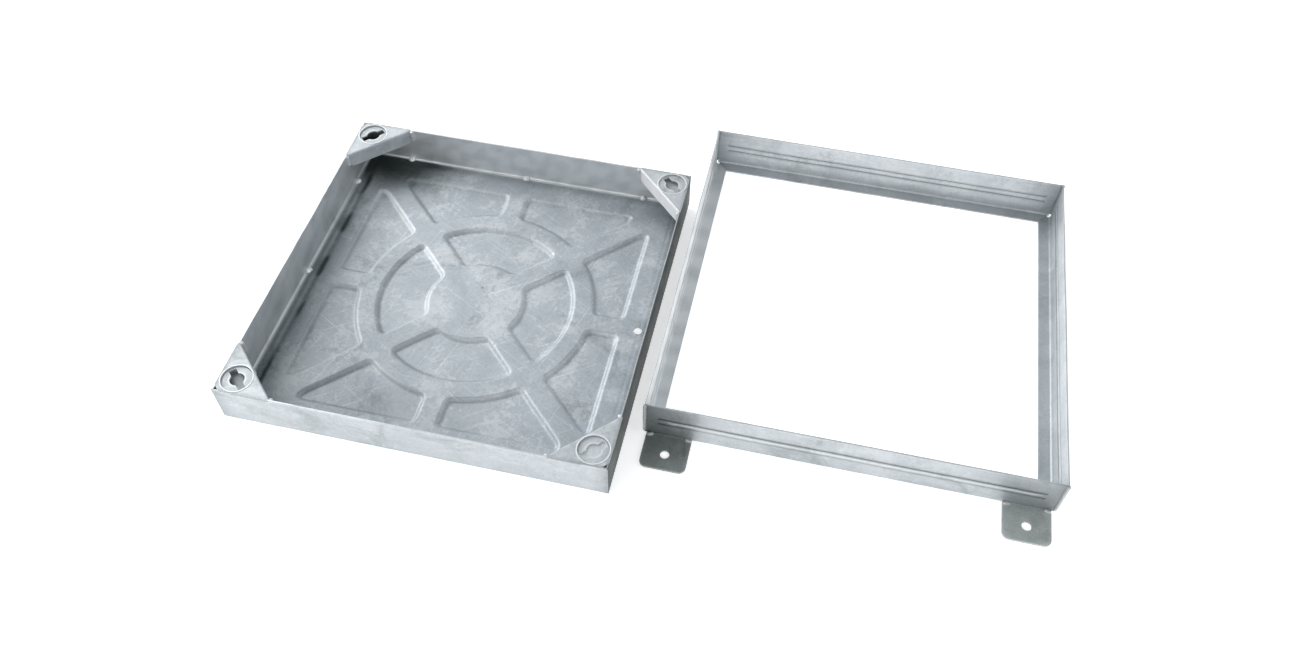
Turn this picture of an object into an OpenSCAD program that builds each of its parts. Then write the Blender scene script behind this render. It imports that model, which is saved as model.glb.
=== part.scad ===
// Recessed manhole cover of hot-dip galvanised steel: a welded anchor frame and, laid beside it, the
// lift-out tray that is filled with paving. The origin is the middle of the frame, on the ground.
// Each sheet part keeps its own solid; the welds that join them are solids of their own.

/* [Frame] */
// Outer size of the square frame
frame_size = 450; // [380:1:640]
// Overall height of the frame
frame_height = 56; // [46:0.5:80]
// Sheet thickness of the frame, tray walls and gussets
sheet = 2; // [1.5:0.1:3]
// Outer radius of the bends in the sheet
bend_radius = 5; // [3.5:0.1:6]
// Width of the ledge that carries the tray, measured from the frame's outer face
ledge_width = 17; // [14:0.5:24]

/* [Frame bead] */
// Width of the stiffening bead pressed outward in each frame wall
bead_width = 8; // [6:0.5:12]
// How far the bead stands out of the wall
bead_rise = 1.5; // [1:0.1:2]
// Height of the bead's middle above the ground
bead_height = 29; // [14:0.5:38]
// Distance from the frame's corner to where the bead ends
bead_end = 16; // [12:1:40]

/* [Anchor lugs] */
// Width of a lug along the frame
lug_width = 52; // [30:1:70]
// How far a lug reaches out of the frame
lug_length = 43.5; // [34:0.5:70]
// Thickness of the lugs
lug_thickness = 3; // [2:0.5:4]
// Distance from the frame's corner to the middle of a lug
lug_inset = 29; // [27:1:90]
// Radius of a lug's outer corners
lug_corner = 8; // [2:0.5:14]
// Diameter of the anchor hole
lug_hole = 10.5; // [7:0.5:13]
// Distance from the frame's wall to the anchor hole
lug_hole_reach = 24; // [15:1:40]

/* [Tray] */
// Clearance between the tray and the frame on each side
seat_gap = 1; // [0.5:0.1:3]
// Width of the tray's bottom flange, measured from its outer face
tray_flange = 13; // [11:0.5:16]
// Gap between the tray and the frame as they lie side by side
lay_gap = 19; // [5:1:120]
// How far the tray lies towards the front of the frame's middle
lay_offset = 90; // [0:1:300]

/* [Floor pan] */
// Sheet thickness of the pressed floor pan
pan_sheet = 1.5; // [1:0.1:2]
// How far the panels are pressed below the ribs
pan_drop = 4; // [3.5:0.5:6]
// Distance from the tray wall's inner face to the pan's edge
pan_edge_gap = 3.5; // [3.5:0.5:6]
// Distance from the tray's outer face to the outer panels
panel_margin = 38; // [30:1:60]
// Radius of the hub left raised in the middle
hub_radius = 56; // [30:1:70]
// Inner radius of the raised ring
ring_inner = 121; // [90:1:125]
// Width of the raised ring
ring_width = 20; // [10:1:30]
// Width of the raised diagonal ribs
cross_rib = 24; // [12:1:36]
// Width of the raised ribs at the middle of the sides
middle_rib = 22; // [12:1:36]
// Diameter of the drain hole
drain_hole = 10; // [6:0.5:14]
// Distance from the tray's outer face to the drain hole
drain_inset = 19; // [19:0.5:28]

/* [Corner gussets] */
// Gap between the key socket and the flange on the gusset's long edge
gusset_clear = 0.1; // [0.1:0.1:12]
// Depth of the gusset's down-turned flange
gusset_flange = 20; // [12:0.5:30]
// Chamfer at the flange's lower corners
gusset_chamfer = 6; // [2:0.5:10]
// Radius of the notch left open over the wall corner
gusset_notch = 3; // [2.5:0.5:4]

/* [Key sockets] */
// Outer diameter of the socket cup
socket_diameter = 36; // [30:0.5:40]
// Wall of the socket cup
socket_wall = 1; // [0.8:0.1:1.2]
// Depth of the cup below the top of the tray
socket_depth = 20; // [16:0.5:30]
// Thickness of the lip that the cup hangs by, on top of the gusset
socket_lip = 0.6; // [0.3:0.1:1]
// How far the lip reaches over the gusset
lip_reach = 0.75; // [0.5:0.05:1.2]
// Distance between the cup and the tray walls
socket_edge = 0.5; // [0.5:0.1:3]
// How far the key plate lies below the top of the tray
key_plate_depth = 1.5; // [1:0.5:8]
// Thickness of the key plate
key_plate = 2; // [1.5:0.1:3]
// Diameter of the round middle of the keyhole, in a socket of the usual size
key_round = 16.5; // [10:0.5:18]
// Length of the keyhole's slot, in a socket of the usual size
key_slot_length = 30; // [20:0.5:31]
// Width of the keyhole's slot, in a socket of the usual size
key_slot_width = 8.5; // [5:0.5:10]

/* [Welds] */
// Radius of the frame's corner seams
frame_seam = 2.2; // [1.5:0.1:3]
// How far the frame's corner seams stand out of its walls
seam_proud = 1.6; // [0.5:0.1:2]
// Radius of the tray's corner seams
tray_seam = 1.6; // [1.2:0.1:2]
// Radius of the weld spots on the lugs
lug_spot = 3.5; // [2.5:0.1:5]
// Radius of the tack welds along the pan's edge
pan_spot = 2.9; // [2:0.1:2.9]
// Radius of the beads at the ends of the gusset flanges
gusset_bead = 2.2; // [1.5:0.1:3]
// Distance from the middle of a side to its outer tack welds
pan_spot_reach = 161; // [60:1:190]
// How far the upright seams and beads stop below the top edges
seam_stop = 1; // [0.5:0.1:3]
// Distance of the lug spots from the lug's side edges
lug_spot_edge = 1; // [0.5:0.5:8]
// Gap at joints that are pressed or welded together
joint_gap = 0.1; // [0.05:0.01:0.2]

/* [Hidden] */
$fn = 64;
half_frame = frame_size / 2;
bead_radius = (pow(bead_width / 2, 2) + pow(bead_rise, 2)) / (2 * bead_rise);
bead_run = frame_size - 2 * bead_end - bead_width;
relief_hole = bend_radius;
frame_seam_at = half_frame - frame_seam + seam_proud;
// The upright seams start above the relief holes in the bends.
seam_base = bend_radius + sheet / 2;

tray_size = frame_size - 2 * (sheet + seat_gap);
tray_height = frame_height - sheet;
half_tray = tray_size / 2;
tray_inside = half_tray - sheet;
// The tray lies on its pressed panels, so its walls start a little above the ground.
tray_base = pan_drop - sheet;
tray_top = tray_base + tray_height;
tray_x = -(half_frame + lay_gap + half_tray);
tray_y = -lay_offset;
tray_seam_at = half_tray - tray_seam;

pan_bottom = tray_base + sheet;
pan_top = pan_bottom + pan_sheet;
half_pan = tray_inside - pan_edge_gap;
panel_reach = half_tray - panel_margin;
ring_outer = ring_inner + ring_width;
drain_at = half_tray - drain_inset;

socket_radius = socket_diameter / 2;
socket_at = tray_inside - socket_edge - socket_radius;
cup_inside = socket_radius - socket_wall;
// The keyhole grows and shrinks with the socket.
usual_socket = 36;
key_scale = socket_diameter / usual_socket;
// The gusset's long edge clears the socket, and its legs run from the walls' inner corner.
gusset_depth = (tray_inside - socket_at) * sqrt(2) + socket_radius + gusset_clear + sheet;
gusset_leg = gusset_depth * sqrt(2);
// Cutters run this far past the faces that they cut.
cut = 1;
eps = 0.01;
zinc = "#b9c0c4";
zinc_dull = "#9aa3a8";
weld_bright = "#d8dde0";

// Turns for the four corners: a corner piece is drawn at the back right and turned to its place.
back_right = 0;
back_left = 90;
front_left = 180;
front_right = 270;

// ---- shared shapes ----

// Section of bent sheet: a flange along X, a wall along Y and a rounded bend between them.
module angle_section(flange, height) {
    translate([bend_radius, 0]) square([flange - bend_radius, sheet]);
    translate([0, bend_radius]) square([sheet, height - bend_radius]);
    intersection() {
        translate([bend_radius, bend_radius]) difference() {
            circle(bend_radius);
            circle(bend_radius - sheet);
        }
        square(bend_radius);
    }
}

// Straight angle along the front of a square, its ends cut at 45 degrees.
module mitred_angle(size, flange, height) {
    intersection() {
        translate([-size / 2, -size / 2, 0])
            rotate([90, 0, 90]) linear_extrude(size) angle_section(flange, height);
        mitre_wedge(size, height);
    }
}

// Prism over the front quarter of a square, which cuts the mitres.
module mitre_wedge(size, height) {
    translate([0, 0, -eps]) linear_extrude(height + 2 * eps) polygon([[0, 0], [-size, -size], [size, -size]]);
}

// Round bar with ball ends along the front wall's bead.
module bead_bar(radius) {
    translate([0, -half_frame + bead_radius - bead_rise, bead_height]) {
        rotate([0, 90, 0]) cylinder(r = radius, h = bead_run, center = true);
        for (side = [-1, 1]) translate([side * bead_run / 2, 0, 0]) sphere(r = radius);
    }
}

// The pressed ridge outside the wall, kept to the sheet and what stands out of it.
module bead_ridge() {
    intersection() {
        bead_bar(bead_radius);
        translate([-half_frame, -half_frame - bead_rise - cut, 0])
            cube([frame_size, bead_rise + cut + sheet, frame_height]);
    }
}

// Places its children at the four corners of a square, in turn.
module each_corner(at, z) {
    for (sx = [-1, 1], sy = [-1, 1]) translate([sx * at, sy * at, z]) children();
}

module frame_seams() {
    each_corner(frame_seam_at, seam_base) cylinder(r = frame_seam, h = frame_height - seam_base);
}

module tray_seams() {
    each_corner(tray_seam_at, tray_base + seam_base)
        cylinder(r = tray_seam, h = tray_height - seam_base - seam_stop);
}

// Holes where the bends meet at the corners, which let the zinc run off.
module corner_reliefs(half, z) {
    each_corner(half - relief_hole / 2 - sheet / 2, z - eps) cylinder(d = relief_hole, h = seam_base + eps);
}

module lay_tray() {
    translate([tray_x, tray_y, 0]) children();
}

// ---- frame ----

module frame_side(turn) {
    color(zinc) difference() {
        rotate(turn) difference() {
            union() {
                mitred_angle(frame_size, ledge_width, frame_height);
                bead_ridge();
            }
            bead_bar(bead_radius - sheet);
        }
        frame_seams();
        corner_reliefs(half_frame, 0);
    }
}

module frame_side_front() { frame_side(0); }
module frame_side_right() { frame_side(90); }
module frame_side_back() { frame_side(180); }
module frame_side_left() { frame_side(270); }

// Flat lug with rounded outer corners, butted under the bend of the frame's wall.
module anchor_lug(sx, sy) {
    tuck = sheet;
    color(zinc_dull) mirror([0, sy > 0 ? 1 : 0, 0])
        translate([sx * (half_frame - lug_inset), -half_frame, 0]) difference() {
            linear_extrude(lug_thickness) difference() {
                union() {
                    translate([-lug_width / 2, -lug_length + lug_corner])
                        square([lug_width, lug_length - lug_corner + tuck]);
                    translate([-lug_width / 2 + lug_corner, -lug_length])
                        square([lug_width - 2 * lug_corner, lug_length]);
                    for (side = [-1, 1])
                        translate([side * (lug_width / 2 - lug_corner), -lug_length + lug_corner]) circle(lug_corner);
                }
                translate([0, -lug_hole_reach]) circle(d = lug_hole);
            }
            translate([0, bend_radius, bend_radius]) rotate([0, 90, 0])
                cylinder(r = bend_radius, h = lug_width + 2 * cut, center = true);
        }
}

module anchor_lug_front_left() { anchor_lug(-1, -1); }
module anchor_lug_front_right() { anchor_lug(1, -1); }
module anchor_lug_back_left() { anchor_lug(-1, 1); }
module anchor_lug_back_right() { anchor_lug(1, 1); }

module frame_corner_welds() {
    color(weld_bright) frame_seams();
}

// Two weld spots on each lug, where it meets the frame's wall.
module lug_welds() {
    spot_at = lug_width / 2 - lug_spot - lug_spot_edge;
    color(weld_bright) for (sx = [-1, 1], sy = [-1, 1], side = [-1, 1])
        mirror([0, sy > 0 ? 1 : 0, 0])
            translate([sx * (half_frame - lug_inset) + side * spot_at, -half_frame, lug_thickness]) intersection() {
                sphere(lug_spot);
                translate([-lug_spot - cut, -lug_spot - cut, 0])
                    cube([2 * (lug_spot + cut), lug_spot + cut, lug_spot + cut]);
            }
}

// ---- tray ----

module tray_side(turn) {
    color(zinc) lay_tray() difference() {
        rotate(turn) translate([0, 0, tray_base]) mitred_angle(tray_size, tray_flange, tray_height);
        tray_seams();
        corner_reliefs(half_tray, tray_base);
    }
}

module tray_side_front() { tray_side(0); }
module tray_side_right() { tray_side(90); }
module tray_side_back() { tray_side(180); }
module tray_side_left() { tray_side(270); }

// Outline of the pressed panels, drawn in by inset on every edge: four between hub and ring, eight outside.
module panels(inset) {
    difference() {
        union() {
            difference() {
                square(2 * (panel_reach - inset), center = true);
                circle(ring_outer + inset);
                for (turn = [0, 90]) rotate(turn) square([2 * half_tray, middle_rib + 2 * inset], center = true);
            }
            difference() {
                circle(ring_inner - inset);
                circle(hub_radius + inset);
            }
        }
        for (turn = [45, 135]) rotate(turn) square([4 * half_tray, cross_rib + 2 * inset], center = true);
    }
}

module floor_pan() {
    color(zinc) lay_tray() difference() {
        union() {
            translate([-half_pan, -half_pan, pan_bottom]) cube([2 * half_pan, 2 * half_pan, pan_sheet]);
            translate([0, 0, pan_bottom - pan_drop]) linear_extrude(pan_drop + pan_sheet) panels(0);
        }
        translate([0, 0, pan_top - pan_drop]) linear_extrude(pan_drop + cut) panels(pan_sheet);
        translate([drain_at, 0, pan_bottom - cut]) cylinder(d = drain_hole, h = pan_sheet + 2 * cut);
    }
}

// Upright flange of a gusset: its lower corners are chamfered and its ends are cut to the walls.
module gusset_web() {
    long_half = gusset_depth;
    chamfered = long_half - gusset_chamfer;
    intersection() {
        translate([tray_inside - gusset_leg / 2, tray_inside - gusset_leg / 2, tray_top])
            rotate(-45) translate([0, sheet, 0]) rotate([90, 0, 0]) linear_extrude(sheet) polygon([
                [-long_half, 0], [long_half, 0],
                [long_half, gusset_chamfer - gusset_flange], [chamfered, -gusset_flange],
                [-chamfered, -gusset_flange], [-long_half, gusset_chamfer - gusset_flange]]);
        translate([0, 0, tray_top - gusset_flange]) cube([tray_inside, tray_inside, gusset_flange]);
    }
}

module corner_gusset(turn) {
    color(zinc) lay_tray() rotate(turn) difference() {
        union() {
            translate([0, 0, tray_top - sheet]) linear_extrude(sheet) polygon([
                [tray_inside, tray_inside], [tray_inside - gusset_leg, tray_inside],
                [tray_inside, tray_inside - gusset_leg]]);
            gusset_web();
        }
        translate([socket_at, socket_at, tray_top - sheet - cut])
            cylinder(r = socket_radius + joint_gap, h = sheet + 2 * cut);
        translate([tray_inside, tray_inside, tray_top - sheet - cut])
            cylinder(r = gusset_notch, h = sheet + 2 * cut);
    }
}

module corner_gusset_front_left() { corner_gusset(front_left); }
module corner_gusset_front_right() { corner_gusset(front_right); }
module corner_gusset_back_left() { corner_gusset(back_left); }
module corner_gusset_back_right() { corner_gusset(back_right); }

// Closed cup under the gusset, which hangs by its lip and keeps the paving out of the keyhole.
module key_socket(turn) {
    color(weld_bright) lay_tray() rotate(turn)
        translate([socket_at, socket_at, tray_top - socket_depth]) difference() {
            union() {
                cylinder(r = socket_radius, h = socket_depth);
                translate([0, 0, socket_depth]) cylinder(r = socket_radius + lip_reach, h = socket_lip);
            }
            translate([0, 0, socket_wall]) cylinder(r = cup_inside, h = socket_depth + socket_lip);
        }
}

module key_socket_front_left() { key_socket(front_left); }
module key_socket_front_right() { key_socket(front_right); }
module key_socket_back_left() { key_socket(back_left); }
module key_socket_back_right() { key_socket(back_right); }

// Disc with the keyhole: a round middle with a slot that runs along the gusset's long edge.
module key_plate_disc(turn) {
    color(zinc) lay_tray() rotate(turn)
        translate([socket_at, socket_at, tray_top - key_plate_depth - key_plate]) linear_extrude(key_plate)
            difference() {
                circle(cup_inside - joint_gap);
                circle(d = key_scale * key_round);
                rotate(-45) square([key_scale * key_slot_length, key_scale * key_slot_width], center = true);
            }
}

module key_plate_front_left() { key_plate_disc(front_left); }
module key_plate_front_right() { key_plate_disc(front_right); }
module key_plate_back_left() { key_plate_disc(back_left); }
module key_plate_back_right() { key_plate_disc(back_right); }

module tray_corner_welds() {
    color(weld_bright) lay_tray() tray_seams();
}

// Three tack welds on each side, domed over the pan's edge.
module floor_tack_welds() {
    color(weld_bright) lay_tray() for (turn = [0, 90, 180, 270], along = [-1, 0, 1])
        rotate(turn) translate([along * pan_spot_reach, -half_pan, pan_top]) intersection() {
            sphere(pan_spot);
            translate([-pan_spot - cut, -pan_spot - cut, 0])
                cube([2 * (pan_spot + cut), 2 * (pan_spot + cut), pan_spot + cut]);
        }
}

// Upright beads in the corners between each gusset flange and the tray walls.
module gusset_welds() {
    reach = tray_inside - gusset_leg;
    bead_length = gusset_flange - gusset_chamfer;
    color(weld_bright) lay_tray() for (turn = [0, 90, 180, 270]) rotate(turn)
        for (flip = [0, 1]) mirror([flip, -flip, 0])
            translate([tray_inside, reach, tray_top - bead_length]) linear_extrude(bead_length - seam_stop) intersection() {
                circle(gusset_bead);
                polygon([[0, 0], [-2 * gusset_bead, 2 * gusset_bead], [-2 * gusset_bead, -2 * gusset_bead],
                    [0, -2 * gusset_bead]]);
            }
}

frame_side_front();
frame_side_right();
frame_side_back();
frame_side_left();
anchor_lug_front_left();
anchor_lug_front_right();
anchor_lug_back_left();
anchor_lug_back_right();
frame_corner_welds();
lug_welds();
tray_side_front();
tray_side_right();
tray_side_back();
tray_side_left();
floor_pan();
corner_gusset_front_left();
corner_gusset_front_right();
corner_gusset_back_left();
corner_gusset_back_right();
key_socket_front_left();
key_socket_front_right();
key_socket_back_left();
key_socket_back_right();
key_plate_front_left();
key_plate_front_right();
key_plate_back_left();
key_plate_back_right();
tray_corner_welds();
floor_tack_welds();
gusset_welds();
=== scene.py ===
import bpy
import bmesh
import math
import numpy as np
from mathutils import Matrix, Vector


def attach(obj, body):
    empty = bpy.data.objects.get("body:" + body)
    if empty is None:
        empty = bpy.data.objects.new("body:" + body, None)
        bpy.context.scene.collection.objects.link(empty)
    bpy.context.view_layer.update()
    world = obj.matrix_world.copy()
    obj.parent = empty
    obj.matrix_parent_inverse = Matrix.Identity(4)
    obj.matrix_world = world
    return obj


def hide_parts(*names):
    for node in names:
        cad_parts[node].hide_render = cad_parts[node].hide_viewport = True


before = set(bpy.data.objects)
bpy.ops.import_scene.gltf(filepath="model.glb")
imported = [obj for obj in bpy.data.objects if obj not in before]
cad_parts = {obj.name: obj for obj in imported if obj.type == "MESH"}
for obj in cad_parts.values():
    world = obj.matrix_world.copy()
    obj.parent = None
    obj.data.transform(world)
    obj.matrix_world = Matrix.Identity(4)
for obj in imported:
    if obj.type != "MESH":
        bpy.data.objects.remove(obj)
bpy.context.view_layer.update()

mm = 0.001
trayPlace = np.array([-466.0, -90.0])  # middle of the tray, in mm
sheet = 2.0  # thickness of the frame, the tray walls and the gussets, in mm

print("stage: camera and light")

cameraLook = {"lens": 29.965, "pitch": 52.11, "heading": 11.56, "roll": 1.22,
              "place": (-0.0904, -0.8612, 1.0326)}


def makeCamera(look):
    # Forward leans down by the pitch and turns by the heading; the roll turns right and up about forward.
    pitch, heading, roll = (math.radians(look[key]) for key in ("pitch", "heading", "roll"))
    level = math.cos(pitch)
    forward = Vector((-math.sin(heading) * level, math.cos(heading) * level, -math.sin(pitch)))
    right = forward.cross(Vector((0, 0, 1))).normalized()
    up = right.cross(forward)
    rolledRight = right * math.cos(roll) + up * math.sin(roll)
    rolledUp = up * math.cos(roll) - right * math.sin(roll)
    data = bpy.data.cameras.new("studioCamera")
    data.sensor_width = 36
    data.lens = look["lens"]
    camera = bpy.data.objects.new("studioCamera", data)
    bpy.context.scene.collection.objects.link(camera)
    turn = Matrix((rolledRight, rolledUp, -forward)).transposed().to_4x4()
    camera.matrix_world = Matrix.Translation(Vector(look["place"])) @ turn
    bpy.context.scene.camera = camera


makeCamera(cameraLook)

lightLook = {
    "keyLeft": {"place": (-2.8, 0.9, 2.0), "aim": (-0.25, -0.05, 0.0),
                "size": (3.2, 1.9), "power": 84, "tint": "#ffffff"},
    "rightFill": {"place": (2.6, -0.5, 1.6), "aim": (-0.25, -0.05, 0.0),
                  "size": (1.6, 1.4), "power": 22, "tint": "#ffffff"},
    "frontPanel": {"place": (-0.6, -2.7, 1.9), "aim": (-0.25, -0.05, 0.05),
                   "size": (3.6, 1.2), "power": 40, "tint": "#ffffff"},
}
# The room is brightest low behind the object and a little to its right, and dim overhead and in front.
worldLook = {"bright": (0.12, 0.85, -0.5), "strength": 0.95,
             "stops": [(0.1, "#4c5154"), (0.32, "#7c8387"), (0.56, "#cfd4d7"), (0.85, "#f8fafc")]}
floorLook = {"size": 12.0, "below": 0.0002, "tint": "#fbfbfb", "roughness": 0.8, "glow": 0.58}


def linearColor(code):
    # Each sRGB channel c becomes c / 12.92 below 0.04045, or ((c + 0.055) / 1.055) to the power 2.4 above it.
    channels = [int(code[i:i + 2], 16) / 255 for i in (1, 3, 5)]
    return [c / 12.92 if c <= 0.04045 else ((c + 0.055) / 1.055) ** 2.4 for c in channels] + [1.0]


def addNode(tree, kind, settings=None, links=None):
    # Adds one node, sets its values (by an input's name or number, or by a property) and makes its links.
    node = tree.nodes.new(kind)
    for key, value in (settings or {}).items():
        if isinstance(key, int) or key in node.inputs:
            node.inputs[key].default_value = value
        else:
            setattr(node, key, value)
    for key, source in (links or {}).items():
        tree.links.new(source, node.inputs[key])
    return node


def rampStops(node, stops):
    # Puts a colour ramp's stops in place: pairs of a position and a grey value or a colour code.
    ramp = node.color_ramp
    while len(ramp.elements) < len(stops):
        ramp.elements.new(0.5)
    for element, (place, value) in zip(ramp.elements, stops):
        element.position = place
        element.color = linearColor(value) if isinstance(value, str) else (value, value, value, 1.0)
    return node


def makeLights():
    for name, look in lightLook.items():
        data = bpy.data.lights.new(name, "AREA")
        data.shape = "RECTANGLE"
        data.size, data.size_y = look["size"]
        data.energy = look["power"]
        data.color = linearColor(look["tint"])[:3]
        lamp = bpy.data.objects.new(name, data)
        bpy.context.scene.collection.objects.link(lamp)
        lamp.location = look["place"]
        lamp.rotation_euler = (Vector(look["aim"]) - lamp.location).to_track_quat("-Z", "Y").to_euler()
    # The share of a direction along the bright one, from -1 to 1, is moved to 0 to 1 and read off the ramp.
    world = bpy.data.worlds.new("studioWorld")
    world.use_nodes = True
    tree = world.node_tree
    way = addNode(tree, "ShaderNodeTexCoord").outputs["Generated"]
    share = addNode(tree, "ShaderNodeVectorMath", {"operation": "DOT_PRODUCT", 1: worldLook["bright"]},
                    {0: way})
    half = addNode(tree, "ShaderNodeMath", {"operation": "MULTIPLY_ADD", 1: 0.5, 2: 0.5},
                   {0: share.outputs["Value"]})
    ramp = rampStops(addNode(tree, "ShaderNodeValToRGB", None, {"Fac": half.outputs[0]}), worldLook["stops"])
    background = tree.nodes["Background"]
    background.inputs["Strength"].default_value = worldLook["strength"]
    tree.links.new(ramp.outputs[0], background.inputs["Color"])
    bpy.context.scene.world = world
    bpy.context.scene.view_settings.view_transform = "Standard"


makeLights()

print("stage: finishes")


def makeZinc(name, look):
    # Hot-dip zinc. Colour: a cloud mix of three greys, times crystal cells, streaks, stains and specks, with
    # pale flakes and scratches over it, bright where the wear and painted highlight attribute is high, dark
    # where the grime and painted shade attribute is high.
    # Roughness follows clouds, cells and streaks; the bump is the sum of cells, streaks, lumps and grain.
    material = bpy.data.materials.new(name)
    material.use_nodes = True
    tree = material.node_tree
    tree.nodes.clear()
    place = addNode(tree, "ShaderNodeTexCoord").outputs["Object"]
    clouds = addNode(tree, "ShaderNodeTexNoise",
                     {"Scale": 1 / look["cloudSize"], "Detail": 7.0, "Roughness": 0.62, "Distortion": 0.6},
                     {"Vector": place})
    cells = addNode(tree, "ShaderNodeTexVoronoi", {"Scale": 1 / look["crystalSize"], "Randomness": 1.0},
                    {"Vector": place})
    drawn = addNode(tree, "ShaderNodeMapping", {"Scale": look["streakScale"]}, {"Vector": place})
    streaks = addNode(tree, "ShaderNodeTexNoise", {"Scale": 1.0, "Detail": 4.0, "Roughness": 0.6},
                      {"Vector": drawn.outputs[0]})
    stains = addNode(tree, "ShaderNodeTexNoise",
                     {"Scale": 1 / look["stainSize"], "Detail": 5.0, "Roughness": 0.7, "Distortion": 1.2},
                     {"Vector": place})
    scratchSum = None  # the strongest of the scratches in each direction
    for turn in look["scratchTurns"]:
        scratchPlace = addNode(tree, "ShaderNodeMapping",
                               {"vector_type": "TEXTURE", "Rotation": (0.0, 0.0, turn),
                                "Scale": look["scratchSize"]}, {"Vector": place})
        lines = addNode(tree, "ShaderNodeTexNoise", {"Scale": 1.0, "Detail": 1.0, "Roughness": 0.4},
                        {"Vector": scratchPlace.outputs[0]})
        scratch = rampStops(addNode(tree, "ShaderNodeValToRGB", None, {"Fac": lines.outputs["Fac"]}),
                            [(look["scratchStops"][0], 0.0), (look["scratchStops"][1], 1.0)]).outputs[0]
        if scratchSum:
            scratch = addNode(tree, "ShaderNodeMath", {"operation": "MAXIMUM"},
                              {0: scratch, 1: scratchSum}).outputs[0]
        scratchSum = scratch
    flakes = addNode(tree, "ShaderNodeTexNoise",
                     {"Scale": 1 / look["flakeSize"], "Detail": 3.0, "Roughness": 0.6, "Distortion": 0.8},
                     {"Vector": place})
    flakePatch = addNode(tree, "ShaderNodeTexNoise", {"Scale": 1 / (look["flakeSize"] * 6), "Detail": 1.0},
                         {"Vector": place})
    flakeSum = addNode(tree, "ShaderNodeMath", {"operation": "MULTIPLY_ADD", 1: 0.8},
                       {0: flakePatch.outputs["Fac"], 2: flakes.outputs["Fac"]})
    speckle = addNode(tree, "ShaderNodeTexNoise",
                      {"Scale": 1 / look["speckSize"], "Detail": 2.0, "Roughness": 0.7}, {"Vector": place})
    grain = addNode(tree, "ShaderNodeTexNoise", {"Scale": 1 / look["grainSize"], "Detail": 3.0},
                    {"Vector": place})

    cloudMix = rampStops(addNode(tree, "ShaderNodeValToRGB", None, {"Fac": clouds.outputs["Fac"]}),
                         list(zip(look["cloudStops"], (look["darkZinc"], look["midZinc"], look["paleZinc"]))))
    cellGrey = rampStops(addNode(tree, "ShaderNodeValToRGB", None, {"Fac": cells.outputs["Color"]}),
                         [(0.0, 1 - look["crystalDepth"]), (1.0, 1.0)])
    withCells = addNode(tree, "ShaderNodeMix", {"data_type": "RGBA", "blend_type": "MULTIPLY", 0: 1.0},
                        {6: cloudMix.outputs[0], 7: cellGrey.outputs[0]})
    streakGrey = rampStops(addNode(tree, "ShaderNodeValToRGB", None, {"Fac": streaks.outputs["Fac"]}),
                           [(0.3, 1 - look["streakDepth"]), (0.62, 1.0)])
    withStreaks = addNode(tree, "ShaderNodeMix", {"data_type": "RGBA", "blend_type": "MULTIPLY", 0: 1.0},
                          {6: withCells.outputs[2], 7: streakGrey.outputs[0]})
    stainGrey = rampStops(addNode(tree, "ShaderNodeValToRGB", None, {"Fac": stains.outputs["Fac"]}),
                          [(0.30, look["stainTint"]), (0.46, "#ffffff")])
    withStains = addNode(tree, "ShaderNodeMix",
                         {"data_type": "RGBA", "blend_type": "MULTIPLY", 0: look["stainDepth"]},
                         {6: withStreaks.outputs[2], 7: stainGrey.outputs[0]})
    speckGrey = rampStops(addNode(tree, "ShaderNodeValToRGB", None, {"Fac": speckle.outputs["Fac"]}),
                          [(0.34, 1 - look["speckDepth"]), (0.56, 1.0)])
    withSpecks = addNode(tree, "ShaderNodeMix", {"data_type": "RGBA", "blend_type": "MULTIPLY", 0: 1.0},
                         {6: withStains.outputs[2], 7: speckGrey.outputs[0]})
    flakeEdge = rampStops(addNode(tree, "ShaderNodeValToRGB", None, {"Fac": flakeSum.outputs[0]}),
                          [(look["flakeStops"][0], 0.0), (look["flakeStops"][1], 1.0)])
    paleMarks = addNode(tree, "ShaderNodeMath", {"operation": "MULTIPLY", 1: look["flakeDepth"]},
                        {0: flakeEdge.outputs[0]})
    scratchFac = addNode(tree, "ShaderNodeMath", {"operation": "MULTIPLY_ADD", 1: look["scratchDepth"]},
                         {0: scratchSum, 2: paleMarks.outputs[0]})
    withScratches = addNode(tree, "ShaderNodeMix",
                            {"data_type": "RGBA", "blend_type": "MIX", 7: linearColor(look["scratchTint"])},
                            {0: scratchFac.outputs[0], 6: withSpecks.outputs[2]})
    # Wear and painted highlight, mixed towards the pale tint.
    wearAndHighlight = addNode(tree, "ShaderNodeAttribute", {"attribute_name": "wearAndHighlight"})
    wearHighlightFac = addNode(tree, "ShaderNodeMath", {"operation": "MULTIPLY", 1: look["wearHighlightStrength"]},
                      {0: wearAndHighlight.outputs["Fac"]})
    withWearAndHighlight = addNode(tree, "ShaderNodeMix",
                        {"data_type": "RGBA", "blend_type": "MIX", 7: linearColor(look["wearHighlightTint"])},
                        {0: wearHighlightFac.outputs[0], 6: withScratches.outputs[2]})
    # Grime and painted shade, multiplied by the dark tint.
    grimeAndShade = addNode(tree, "ShaderNodeAttribute", {"attribute_name": "grimeAndShade"})
    withGrimeAndShade = addNode(tree, "ShaderNodeMix",
                        {"data_type": "RGBA", "blend_type": "MULTIPLY", 7: linearColor(look["grimeShadeTint"])},
                        {0: grimeAndShade.outputs["Fac"], 6: withWearAndHighlight.outputs[2]})

    rough = addNode(tree, "ShaderNodeMapRange",
                    {"From Min": 0.3, "From Max": 0.7, "To Min": look["roughness"][0],
                     "To Max": look["roughness"][1]}, {"Value": clouds.outputs["Fac"]})
    roughCells = addNode(tree, "ShaderNodeMath", {"operation": "MULTIPLY_ADD", 1: look["crystalDepth"] * 0.5},
                         {0: cells.outputs["Color"], 2: rough.outputs[0]})
    roughStreak = addNode(tree, "ShaderNodeMath", {"operation": "MULTIPLY_ADD", 1: 0.12},
                          {0: streakGrey.outputs[0], 2: roughCells.outputs[0]})

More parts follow.
